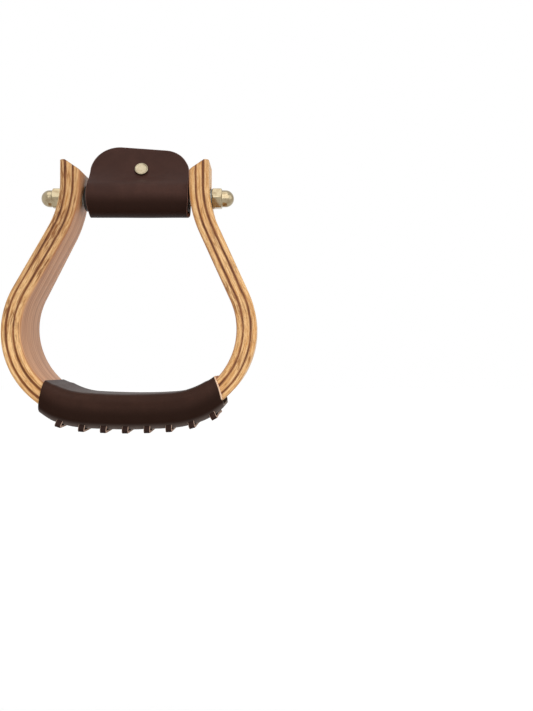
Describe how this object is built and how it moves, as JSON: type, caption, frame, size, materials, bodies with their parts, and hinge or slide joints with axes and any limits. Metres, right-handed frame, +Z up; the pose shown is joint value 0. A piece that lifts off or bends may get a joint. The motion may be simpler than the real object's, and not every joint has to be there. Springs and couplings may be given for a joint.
{
  "type": "wooden western stirrup",
  "caption": "Western riding stirrup with a bent laminated wood bow, laced leather tread, domed nuts on a cross bolt, turning sleeve and a riveted leather bolt cover.",
  "frame": {"origin": "middle of the bolt's axis, where the stirrup hangs", "axes": "+X along the bolt to the right seen from the front, +Y from the front to the back, +Z up as hung, with the tread below"},
  "size_m": [0.184, 0.0718, 0.2138],
  "materials": {
    "light_wood": "clear satin varnish over straight-grained light plies",
    "dark_wood": "clear satin varnish over thin dark plies",
    "dark_leather": "smooth satin dark brown, cut edges pale on the tread",
    "lace_leather": "flat strap, dark grain side with paler cut edges",
    "nickel": "polished nickel with a warm cast",
    "zinc_steel": "zinc plated",
    "black_plastic": "satin black"
  },
  "bodies": {
    "bow": {"outer_light_ply": "light_wood", "outer_dark_ply": "dark_wood", "middle_light_ply": "light_wood", "inner_dark_ply": "dark_wood", "inner_light_ply": "light_wood", "stirrup_bolt": "zinc_steel", "left_washer": "zinc_steel", "left_acorn_nut": "nickel", "right_washer": "zinc_steel", "right_acorn_nut": "nickel", "tread_leather": "dark_leather", "tread_lace": "lace_leather"},
    "roller": {"roller_sleeve": "black_plastic"},
    "cover": {"bolt_cover": "dark_leather", "rivet_post": "nickel", "rivet_screw": "nickel"}
  },
  "joints": [
    {"name": "sleeve_turn", "type": "hinge", "parent": "bow", "child": "roller", "pos_m": [0, 0, 0], "axis": [1, 0, 0], "continuous": true},
    {"name": "cover_turn", "type": "hinge", "parent": "bow", "child": "cover", "pos_m": [0, 0, 0], "axis": [1, 0, 0], "continuous": true}
  ]
}
